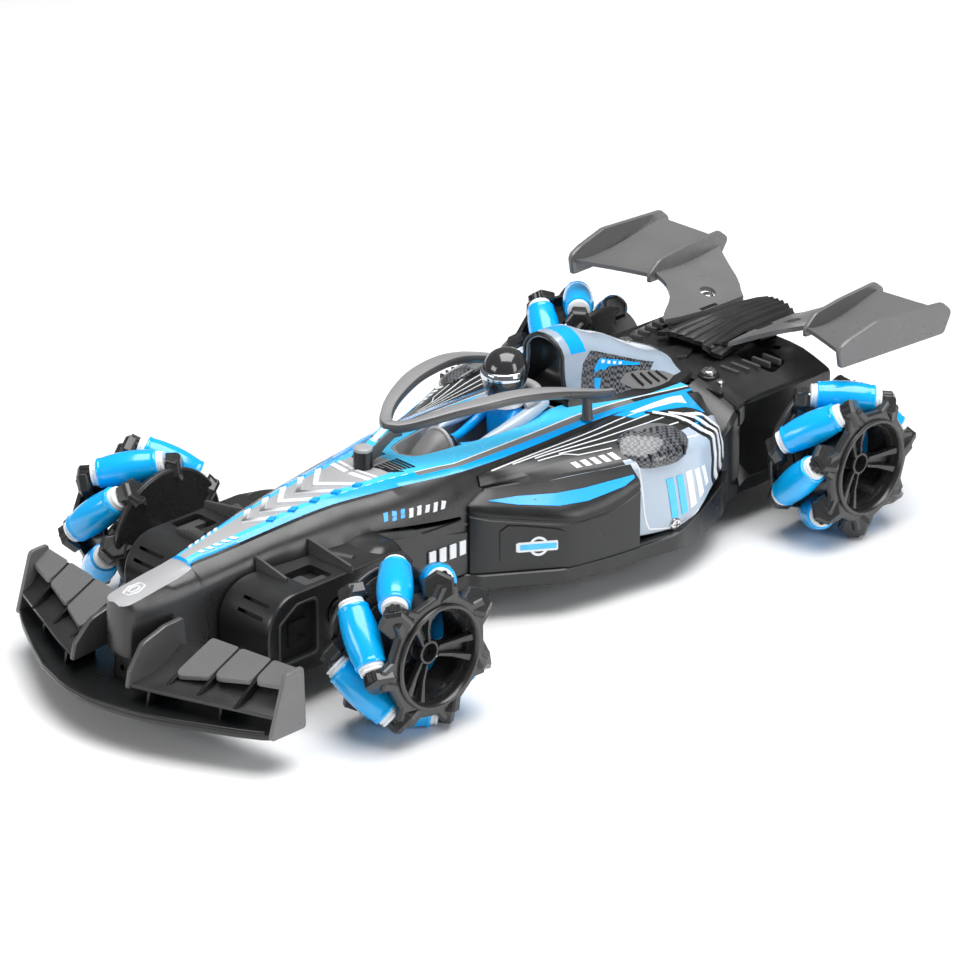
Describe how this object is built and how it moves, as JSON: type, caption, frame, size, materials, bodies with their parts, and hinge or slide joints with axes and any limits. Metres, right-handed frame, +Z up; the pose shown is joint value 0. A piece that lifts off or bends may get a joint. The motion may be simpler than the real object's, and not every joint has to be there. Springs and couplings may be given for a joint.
{
  "type": "remote control car",
  "caption": "Formula-style remote control toy car with mecanum wheels, each ringed by free-spinning slanted rollers, a halo bar, side pods, front wing and split rear wing.",
  "frame": {"origin": "middle of the car's outer box, on the ground under the rollers", "axes": "-Y towards the nose, +X towards the car's left side, +Z up"},
  "size_m": [0.1624, 0.348, 0.0794],
  "materials": {
    "body_shell": "satin moulded plastic with printed stripes",
    "painted_panel": "glossy blue-grey paint",
    "black_plastic": "fine moulded grain",
    "charcoal_plastic": "satin moulded",
    "wing_plastic": "satin moulded",
    "wheel_plastic": "satin moulded",
    "roller_sleeve": "glossy",
    "roller_cap": "glossy",
    "carbon_trim": "clear-coated weave print",
    "cockpit_grey": "satin moulded",
    "halo_grey": "satin moulded",
    "helmet": "glossy",
    "visor": "mirror film",
    "screw_steel": "plated",
    "stripe_blue": "printed film",
    "stripe_white": "printed film",
    "motor_metal": "brushed",
    "battery_wrap": "shrink wrap",
    "circuit_board": "solder mask"
  },
  "bodies": {
    "chassis": {"chassis_tub": "black_plastic", "battery_door": "black_plastic", "body_shell": "body_shell", "front_wing": "wing_plastic", "front_fairing_left": "charcoal_plastic", "front_fairing_right": "charcoal_plastic", "side_pod_left": "painted_panel", "side_pod_right": "painted_panel", "intake_scoop_left": "carbon_trim", "intake_scoop_right": "carbon_trim", "engine_cover": "painted_panel", "cockpit_tub": "cockpit_grey", "driver": "helmet", "halo": "halo_grey", "rear_deck": "black_plastic", "rear_wing": "wing_plastic", "rear_wing_cover": "charcoal_plastic", "battery_pack": "battery_wrap", "control_board": "circuit_board", "front_left_gear_motor": "motor_metal", "front_right_gear_motor": "motor_metal", "rear_left_gear_motor": "motor_metal", "rear_right_gear_motor": "motor_metal"},
    "power_switch": {"power_switch": "black_plastic"},
    "front_left_wheel": {"front_left_wheel_outer_plate": "wheel_plastic", "front_left_wheel_inner_plate": "wheel_plastic"},
    "front_left_roller_1": {"front_left_roller_1": "roller_sleeve"},
    "front_left_roller_2": {"front_left_roller_2": "roller_sleeve"},
    "front_left_roller_3": {"front_left_roller_3": "roller_sleeve"},
    "front_left_roller_4": {"front_left_roller_4": "roller_sleeve"},
    "front_left_roller_5": {"front_left_roller_5": "roller_sleeve"},
    "front_left_roller_6": {"front_left_roller_6": "roller_sleeve"},
    "front_left_roller_7": {"front_left_roller_7": "roller_sleeve"},
    "front_right_wheel": {"front_right_wheel_outer_plate": "wheel_plastic", "front_right_wheel_inner_plate": "wheel_plastic"},
    "front_right_roller_1": {"front_right_roller_1": "roller_sleeve"},
    "front_right_roller_2": {"front_right_roller_2": "roller_sleeve"},
    "front_right_roller_3": {"front_right_roller_3": "roller_sleeve"},
    "front_right_roller_4": {"front_right_roller_4": "roller_sleeve"},
    "front_right_roller_5": {"front_right_roller_5": "roller_sleeve"},
    "front_right_roller_6": {"front_right_roller_6": "roller_sleeve"},
    "front_right_roller_7": {"front_right_roller_7": "roller_sleeve"},
    "rear_left_wheel": {"rear_left_wheel_outer_plate": "wheel_plastic", "rear_left_wheel_inner_plate": "wheel_plastic"},
    "rear_left_roller_1": {"rear_left_roller_1": "roller_sleeve"},
    "rear_left_roller_2": {"rear_left_roller_2": "roller_sleeve"},
    "rear_left_roller_3": {"rear_left_roller_3": "roller_sleeve"},
    "rear_left_roller_4": {"rear_left_roller_4": "roller_sleeve"},
    "rear_left_roller_5": {"rear_left_roller_5": "roller_sleeve"},
    "rear_left_roller_6": {"rear_left_roller_6": "roller_sleeve"},
    "rear_left_roller_7": {"rear_left_roller_7": "roller_sleeve"},
    "rear_right_wheel": {"rear_right_wheel_outer_plate": "wheel_plastic", "rear_right_wheel_inner_plate": "wheel_plastic"},
    "rear_right_roller_1": {"rear_right_roller_1": "roller_sleeve"},
    "rear_right_roller_2": {"rear_right_roller_2": "roller_sleeve"},
    "rear_right_roller_3": {"rear_right_roller_3": "roller_sleeve"},
    "rear_right_roller_4": {"rear_right_roller_4": "roller_sleeve"},
    "rear_right_roller_5": {"rear_right_roller_5": "roller_sleeve"},
    "rear_right_roller_6": {"rear_right_roller_6": "roller_sleeve"},
    "rear_right_roller_7": {"rear_right_roller_7": "roller_sleeve"}
  },
  "joints": [
    {"name": "power_switch_slide", "type": "slide", "parent": "chassis", "child": "power_switch", "axis": [1, 0, 0], "range_m": [0, 0.003]},
    {"name": "front_left_wheel_spin", "type": "hinge", "parent": "chassis", "child": "front_left_wheel", "pos_m": [0.0657, -0.093, 0.02775], "axis": [1, 0, 0], "continuous": true},
    {"name": "front_left_roller_1_spin", "type": "hinge", "parent": "front_left_wheel", "child": "front_left_roller_1", "pos_m": [0.0657, -0.07985, 0.04539], "axis": [0.7071, -0.5669, 0.4226], "continuous": true},
    {"name": "front_left_roller_2_spin", "type": "hinge", "parent": "front_left_wheel", "child": "front_left_roller_2", "pos_m": [0.0657, -0.09859, 0.04903], "axis": [0.7071, -0.6839, -0.1798], "continuous": true},
    {"name": "front_left_roller_3_spin", "type": "hinge", "parent": "front_left_wheel", "child": "front_left_roller_3", "pos_m": [0.0657, -0.11312, 0.03664], "axis": [0.7071, -0.2858, -0.6468], "continuous": true},
    {"name": "front_left_roller_4_spin", "type": "hinge", "parent": "front_left_wheel", "child": "front_left_roller_4", "pos_m": [0.0657, -0.1125, 0.01756], "axis": [0.7071, 0.3274, -0.6267], "continuous": true},
    {"name": "front_left_roller_5_spin", "type": "hinge", "parent": "front_left_wheel", "child": "front_left_roller_5", "pos_m": [0.0657, -0.09719, 0.00615], "axis": [0.7071, 0.6941, -0.1347], "continuous": true},
    {"name": "front_left_roller_6_spin", "type": "hinge", "parent": "front_left_wheel", "child": "front_left_roller_6", "pos_m": [0.0657, -0.07873, 0.01101], "axis": [0.7071, 0.5381, 0.4587], "continuous": true},
    {"name": "front_left_roller_7_spin", "type": "hinge", "parent": "front_left_wheel", "child": "front_left_roller_7", "pos_m": [0.0657, -0.07101, 0.02847], "axis": [0.7071, -0.0231, 0.7067], "continuous": true},
    {"name": "front_right_wheel_spin", "type": "hinge", "parent": "chassis", "child": "front_right_wheel", "pos_m": [-0.0657, -0.093, 0.02775], "axis": [1, 0, 0], "continuous": true},
    {"name": "front_right_roller_1_spin", "type": "hinge", "parent": "front_right_wheel", "child": "front_right_roller_1", "pos_m": [-0.0657, -0.07985, 0.04539], "axis": [-0.7071, -0.5669, 0.4226], "continuous": true},
    {"name": "front_right_roller_2_spin", "type": "hinge", "parent": "front_right_wheel", "child": "front_right_roller_2", "pos_m": [-0.0657, -0.09859, 0.04903], "axis": [-0.7071, -0.6839, -0.1798], "continuous": true},
    {"name": "front_right_roller_3_spin", "type": "hinge", "parent": "front_right_wheel", "child": "front_right_roller_3", "pos_m": [-0.0657, -0.11312, 0.03664], "axis": [-0.7071, -0.2858, -0.6468], "continuous": true},
    {"name": "front_right_roller_4_spin", "type": "hinge", "parent": "front_right_wheel", "child": "front_right_roller_4", "pos_m": [-0.0657, -0.1125, 0.01756], "axis": [-0.7071, 0.3274, -0.6267], "continuous": true},
    {"name": "front_right_roller_5_spin", "type": "hinge", "parent": "front_right_wheel", "child": "front_right_roller_5", "pos_m": [-0.0657, -0.09719, 0.00615], "axis": [-0.7071, 0.6941, -0.1347], "continuous": true},
    {"name": "front_right_roller_6_spin", "type": "hinge", "parent": "front_right_wheel", "child": "front_right_roller_6", "pos_m": [-0.0657, -0.07873, 0.01101], "axis": [-0.7071, 0.5381, 0.4587], "continuous": true},
    {"name": "front_right_roller_7_spin", "type": "hinge", "parent": "front_right_wheel", "child": "front_right_roller_7", "pos_m": [-0.0657, -0.07101, 0.02847], "axis": [-0.7071, -0.0231, 0.7067], "continuous": true},
    {"name": "rear_left_wheel_spin", "type": "hinge", "parent": "chassis", "child": "rear_left_wheel", "pos_m": [0.0657, 0.119, 0.02775], "axis": [1, 0, 0], "continuous": true},
    {"name": "rear_left_roller_1_spin", "type": "hinge", "parent": "rear_left_wheel", "child": "rear_left_roller_1", "pos_m": [0.0657, 0.13739, 0.03983], "axis": [0.7071, 0.3882, -0.591], "continuous": true},
    {"name": "rear_left_roller_2_spin", "type": "hinge", "parent": "rear_left_wheel", "child": "rear_left_roller_2", "pos_m": [0.0657, 0.12102, 0.04966], "axis": [0.7071, 0.7041, -0.065], "continuous": true},
    {"name": "rear_left_roller_3_spin", "type": "hinge", "parent": "rear_left_wheel", "child": "rear_left_roller_3", "pos_m": [0.0657, 0.10313, 0.04299], "axis": [0.7071, 0.4898, 0.51], "continuous": true},
    {"name": "rear_left_roller_4_spin", "type": "hinge", "parent": "rear_left_wheel", "child": "rear_left_roller_4", "pos_m": [0.0657, 0.09719, 0.02485], "axis": [0.7071, -0.0933, 0.7009], "continuous": true},
    {"name": "rear_left_roller_5_spin", "type": "hinge", "parent": "rear_left_wheel", "child": "rear_left_roller_5", "pos_m": [0.0657, 0.10767, 0.00889], "axis": [0.7071, -0.6062, 0.364], "continuous": true},
    {"name": "rear_left_roller_6_spin", "type": "hinge", "parent": "rear_left_wheel", "child": "rear_left_roller_6", "pos_m": [0.0657, 0.12668, 0.00714], "axis": [0.7071, -0.6626, -0.247], "continuous": true},
    {"name": "rear_left_roller_7_spin", "type": "hinge", "parent": "rear_left_wheel", "child": "rear_left_roller_7", "pos_m": [0.0657, 0.13991, 0.0209], "axis": [0.7071, -0.22, -0.672], "continuous": true},
    {"name": "rear_right_wheel_spin", "type": "hinge", "parent": "chassis", "child": "rear_right_wheel", "pos_m": [-0.0657, 0.119, 0.02775], "axis": [1, 0, 0], "continuous": true},
    {"name": "rear_right_roller_1_spin", "type": "hinge", "parent": "rear_right_wheel", "child": "rear_right_roller_1", "pos_m": [-0.0657, 0.13739, 0.03983], "axis": [-0.7071, 0.3882, -0.591], "continuous": true},
    {"name": "rear_right_roller_2_spin", "type": "hinge", "parent": "rear_right_wheel", "child": "rear_right_roller_2", "pos_m": [-0.0657, 0.12102, 0.04966], "axis": [-0.7071, 0.7041, -0.065], "continuous": true},
    {"name": "rear_right_roller_3_spin", "type": "hinge", "parent": "rear_right_wheel", "child": "rear_right_roller_3", "pos_m": [-0.0657, 0.10313, 0.04299], "axis": [-0.7071, 0.4898, 0.51], "continuous": true},
    {"name": "rear_right_roller_4_spin", "type": "hinge", "parent": "rear_right_wheel", "child": "rear_right_roller_4", "pos_m": [-0.0657, 0.09719, 0.02485], "axis": [-0.7071, -0.0933, 0.7009], "continuous": true},
    {"name": "rear_right_roller_5_spin", "type": "hinge", "parent": "rear_right_wheel", "child": "rear_right_roller_5", "pos_m": [-0.0657, 0.10767, 0.00889], "axis": [-0.7071, -0.6062, 0.364], "continuous": true},
    {"name": "rear_right_roller_6_spin", "type": "hinge", "parent": "rear_right_wheel", "child": "rear_right_roller_6", "pos_m": [-0.0657, 0.12668, 0.00714], "axis": [-0.7071, -0.6626, -0.247], "continuous": true},
    {"name": "rear_right_roller_7_spin", "type": "hinge", "parent": "rear_right_wheel", "child": "rear_right_roller_7", "pos_m": [-0.0657, 0.13991, 0.0209], "axis": [-0.7071, -0.22, -0.672], "continuous": true}
  ]
}
